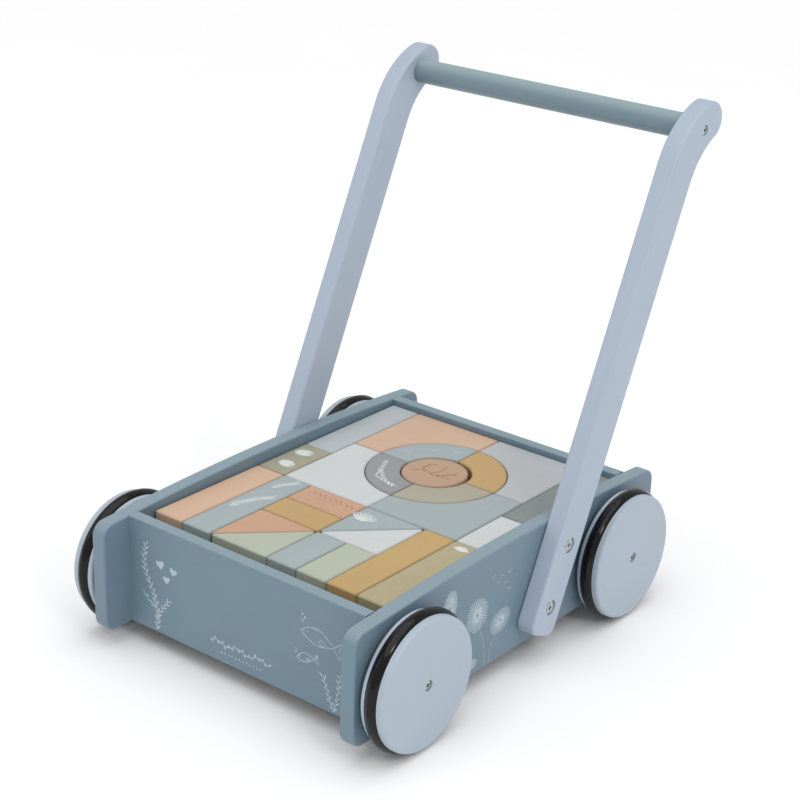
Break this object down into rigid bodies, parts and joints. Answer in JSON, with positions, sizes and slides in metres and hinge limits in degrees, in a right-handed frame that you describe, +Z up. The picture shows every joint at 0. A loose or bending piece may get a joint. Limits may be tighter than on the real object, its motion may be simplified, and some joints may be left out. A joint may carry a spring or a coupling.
{
  "type": "block trolley baby walker",
  "caption": "Wooden push-along walker: a shallow tray of building blocks on rubber-tyred wheels, with a leaning handle frame.",
  "frame": {"origin": "on the ground under the middle of the walker's overall box", "axes": "+Z up, +X towards the walker's right-hand side, +Y towards the rear, where the handle leans"},
  "size_m": [0.341, 0.4526, 0.4533],
  "materials": {
    "panel_paint": "satin paint, dusty blue",
    "pale_paint": "satin paint, pale blue-grey",
    "bar_paint": "satin paint, slate blue",
    "bare_wood": "sanded beech",
    "rubber": "glossy black rubber",
    "steel": "zinc-plated steel",
    "spacer_plastic": "black nylon",
    "paint_peach": "satin paint, peach",
    "paint_mustard": "satin paint, mustard",
    "paint_white": "satin paint, white",
    "paint_blue": "satin paint, grey-blue",
    "paint_green": "satin paint, sage green",
    "paint_sand": "satin paint, sand",
    "paint_olive": "satin paint, olive",
    "paint_mist": "satin paint, cool light grey",
    "paint_charcoal": "satin paint, dark grey"
  },
  "bodies": {
    "chassis": {"side_panel_left": "panel_paint", "floor_rail_left": "bare_wood", "upright_left": "pale_paint", "side_panel_right": "panel_paint", "floor_rail_right": "bare_wood", "upright_right": "pale_paint", "front_panel": "panel_paint", "rear_panel": "panel_paint", "tray_floor": "panel_paint", "panel_dowels": "bare_wood", "rail_screws": "steel", "axle_bolt_front_left": "steel", "axle_bolt_front_right": "steel", "axle_bolt_rear_left": "steel", "axle_bolt_rear_right": "steel", "axle_tee_nuts": "steel", "wheel_spacers": "spacer_plastic", "crossbar": "bar_paint", "crossbar_screws": "steel", "connector_bolts": "steel", "connector_cap_nuts": "steel"},
    "wheel_front_left": {"wheel_front_left": "pale_paint", "tyre_front_left": "rubber"},
    "wheel_front_right": {"wheel_front_right": "pale_paint", "tyre_front_right": "rubber"},
    "wheel_rear_left": {"wheel_rear_left": "pale_paint", "tyre_rear_left": "rubber"},
    "wheel_rear_right": {"wheel_rear_right": "pale_paint", "tyre_rear_right": "rubber"},
    "block_long_peach": {"block_long_peach": "paint_peach"},
    "block_long_blue": {"block_long_blue": "paint_blue"},
    "block_long_mustard": {"block_long_mustard": "paint_mustard"},
    "block_long_sand": {"block_long_sand": "paint_sand"},
    "block_long_mist": {"block_long_mist": "paint_mist"},
    "block_long_olive": {"block_long_olive": "paint_olive"},
    "block_short_olive": {"block_short_olive": "paint_olive"},
    "block_short_white": {"block_short_white": "paint_white"},
    "block_short_blue": {"block_short_blue": "paint_blue"},
    "block_short_green": {"block_short_green": "paint_green"},
    "block_bar_peach": {"block_bar_peach": "paint_peach"},
    "block_bar_mustard": {"block_bar_mustard": "paint_mustard"},
    "block_triangle_peach": {"block_triangle_peach": "paint_peach"},
    "block_triangle_green": {"block_triangle_green": "paint_green"},
    "block_triangle_blue": {"block_triangle_blue": "paint_blue"},
    "block_triangle_white": {"block_triangle_white": "paint_white"},
    "block_notch_white": {"block_notch_white": "paint_white"},
    "block_notch_peach": {"block_notch_peach": "paint_peach"},
    "block_notch_lilac": {"block_notch_lilac": "paint_mist"},
    "block_notch_blue": {"block_notch_blue": "paint_blue"},
    "block_ring_charcoal": {"block_ring_charcoal": "paint_charcoal"},
    "block_ring_blue": {"block_ring_blue": "paint_blue"},
    "block_ring_mustard": {"block_ring_mustard": "paint_mustard"},
    "block_ring_sand": {"block_ring_sand": "paint_sand"},
    "block_disc_peach": {"block_disc_peach": "paint_peach"}
  },
  "joints": [
    {"name": "wheel_front_left_spin", "type": "hinge", "parent": "chassis", "child": "wheel_front_left", "pos_m": [-0.15925, -0.16633, 0.06], "axis": [1, 0, 0], "continuous": true},
    {"name": "wheel_front_right_spin", "type": "hinge", "parent": "chassis", "child": "wheel_front_right", "pos_m": [0.15925, -0.16633, 0.06], "axis": [1, 0, 0], "continuous": true},
    {"name": "wheel_rear_left_spin", "type": "hinge", "parent": "chassis", "child": "wheel_rear_left", "pos_m": [-0.15925, 0.12467, 0.06], "axis": [1, 0, 0], "continuous": true},
    {"name": "wheel_rear_right_spin", "type": "hinge", "parent": "chassis", "child": "wheel_rear_right", "pos_m": [0.15925, 0.12467, 0.06], "axis": [1, 0, 0], "continuous": true},
    {"name": "lift_long_peach", "type": "slide", "parent": "chassis", "child": "block_long_peach", "axis": [0, 0, 1], "range_m": [0, 0.06]},
    {"name": "lift_long_blue", "type": "slide", "parent": "chassis", "child": "block_long_blue", "axis": [0, 0, 1], "range_m": [0, 0.06]},
    {"name": "lift_long_mustard", "type": "slide", "parent": "chassis", "child": "block_long_mustard", "axis": [0, 0, 1], "range_m": [0, 0.06]},
    {"name": "lift_long_sand", "type": "slide", "parent": "chassis", "child": "block_long_sand", "axis": [0, 0, 1], "range_m": [0, 0.06]},
    {"name": "lift_long_mist", "type": "slide", "parent": "chassis", "child": "block_long_mist", "axis": [0, 0, 1], "range_m": [0, 0.06]},
    {"name": "lift_long_olive", "type": "slide", "parent": "chassis", "child": "block_long_olive", "axis": [0, 0, 1], "range_m": [0, 0.06]},
    {"name": "lift_short_olive", "type": "slide", "parent": "chassis", "child": "block_short_olive", "axis": [0, 0, 1], "range_m": [0, 0.06]},
    {"name": "lift_short_white", "type": "slide", "parent": "chassis", "child": "block_short_white", "axis": [0, 0, 1], "range_m": [0, 0.06]},
    {"name": "lift_short_blue", "type": "slide", "parent": "chassis", "child": "block_short_blue", "axis": [0, 0, 1], "range_m": [0, 0.06]},
    {"name": "lift_short_green", "type": "slide", "parent": "chassis", "child": "block_short_green", "axis": [0, 0, 1], "range_m": [0, 0.06]},
    {"name": "lift_bar_peach", "type": "slide", "parent": "chassis", "child": "block_bar_peach", "axis": [0, 0, 1], "range_m": [0, 0.06]},
    {"name": "lift_bar_mustard", "type": "slide", "parent": "chassis", "child": "block_bar_mustard", "axis": [0, 0, 1], "range_m": [0, 0.06]},
    {"name": "lift_triangle_peach", "type": "slide", "parent": "chassis", "child": "block_triangle_peach", "axis": [0, 0, 1], "range_m": [0, 0.06]},
    {"name": "lift_triangle_green", "type": "slide", "parent": "chassis", "child": "block_triangle_green", "axis": [0, 0, 1], "range_m": [0, 0.06]},
    {"name": "lift_triangle_blue", "type": "slide", "parent": "chassis", "child": "block_triangle_blue", "axis": [0, 0, 1], "range_m": [0, 0.06]},
    {"name": "lift_triangle_white", "type": "slide", "parent": "chassis", "child": "block_triangle_white", "axis": [0, 0, 1], "range_m": [0, 0.06]},
    {"name": "lift_notch_white", "type": "slide", "parent": "chassis", "child": "block_notch_white", "axis": [0, 0, 1], "range_m": [0, 0.06]},
    {"name": "lift_notch_peach", "type": "slide", "parent": "chassis", "child": "block_notch_peach", "axis": [0, 0, 1], "range_m": [0, 0.06]},
    {"name": "lift_notch_lilac", "type": "slide", "parent": "chassis", "child": "block_notch_lilac", "axis": [0, 0, 1], "range_m": [0, 0.06]},
    {"name": "lift_notch_blue", "type": "slide", "parent": "chassis", "child": "block_notch_blue", "axis": [0, 0, 1], "range_m": [0, 0.06]},
    {"name": "lift_ring_charcoal", "type": "slide", "parent": "chassis", "child": "block_ring_charcoal", "axis": [0, 0, 1], "range_m": [0, 0.06]},
    {"name": "lift_ring_blue", "type": "slide", "parent": "chassis", "child": "block_ring_blue", "axis": [0, 0, 1], "range_m": [0, 0.06]},
    {"name": "lift_ring_mustard", "type": "slide", "parent": "chassis", "child": "block_ring_mustard", "axis": [0, 0, 1], "range_m": [0, 0.06]},
    {"name": "lift_ring_sand", "type": "slide", "parent": "chassis", "child": "block_ring_sand", "axis": [0, 0, 1], "range_m": [0, 0.06]},
    {"name": "lift_disc_peach", "type": "slide", "parent": "chassis", "child": "block_disc_peach", "axis": [0, 0, 1], "range_m": [0, 0.06]}
  ]
}
